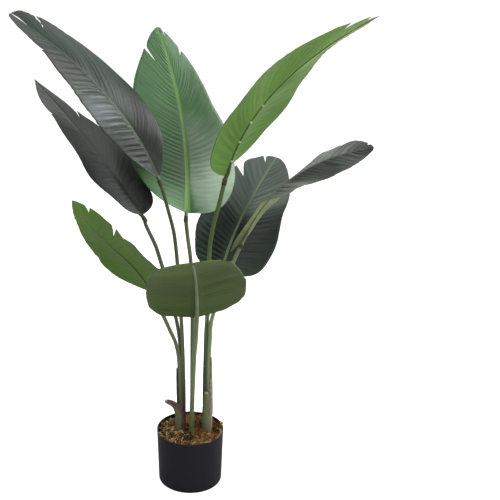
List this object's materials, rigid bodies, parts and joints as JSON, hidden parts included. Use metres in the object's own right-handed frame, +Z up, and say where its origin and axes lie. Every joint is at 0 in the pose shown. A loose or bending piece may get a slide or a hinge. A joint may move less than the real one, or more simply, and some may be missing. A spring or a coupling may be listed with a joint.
{
  "type": "artificial banana plant",
  "caption": "Artificial banana plant: large paddle leaves on bundled stalks, standing in a plain round weighted pot.",
  "frame": {"origin": "centre of the pot's flat underside", "axes": "+Z up along the height, +X to the right and +Y away from the viewer in the picture"},
  "size_m": [0.805, 0.69, 1.1591],
  "materials": {
    "pot_plastic": "matte near-black plastic, faintly blue",
    "block": "rough brown mortar that weighs the pot down",
    "fibre": "loose brown and straw-coloured coconut fibre",
    "stalk": "satin green moulded plastic, brown towards the foot",
    "leaf_dark": "dark grey-green printed cloth leaf with a dull sheen",
    "leaf_green": "green printed cloth leaf, satin",
    "leaf_olive": "olive green underside of a cloth leaf, matte",
    "sheath": "brown and grey-green dry sheath, matte"
  },
  "bodies": {
    "root": {"pot": "pot_plastic", "growing_block": "block", "fibre_bed": "fibre", "stalk_upper_left": "stalk", "leaf_upper_left": "leaf_dark", "stalk_middle_left": "stalk", "leaf_middle_left": "leaf_dark", "stalk_centre_back": "stalk", "leaf_centre_back": "leaf_green", "stalk_upper_right": "stalk", "leaf_upper_right": "leaf_green", "stalk_low_right": "stalk", "leaf_low_right": "leaf_dark", "stalk_back_right": "stalk", "leaf_back_right": "leaf_dark", "stalk_low_left": "stalk", "leaf_low_left": "leaf_green", "stalk_front": "stalk", "leaf_front": "leaf_olive", "sheath_hooked": "sheath", "sheath_blunt": "sheath", "sheath_tall_left": "sheath", "sheath_tall_right": "sheath"}
  },
  "joints": []
}
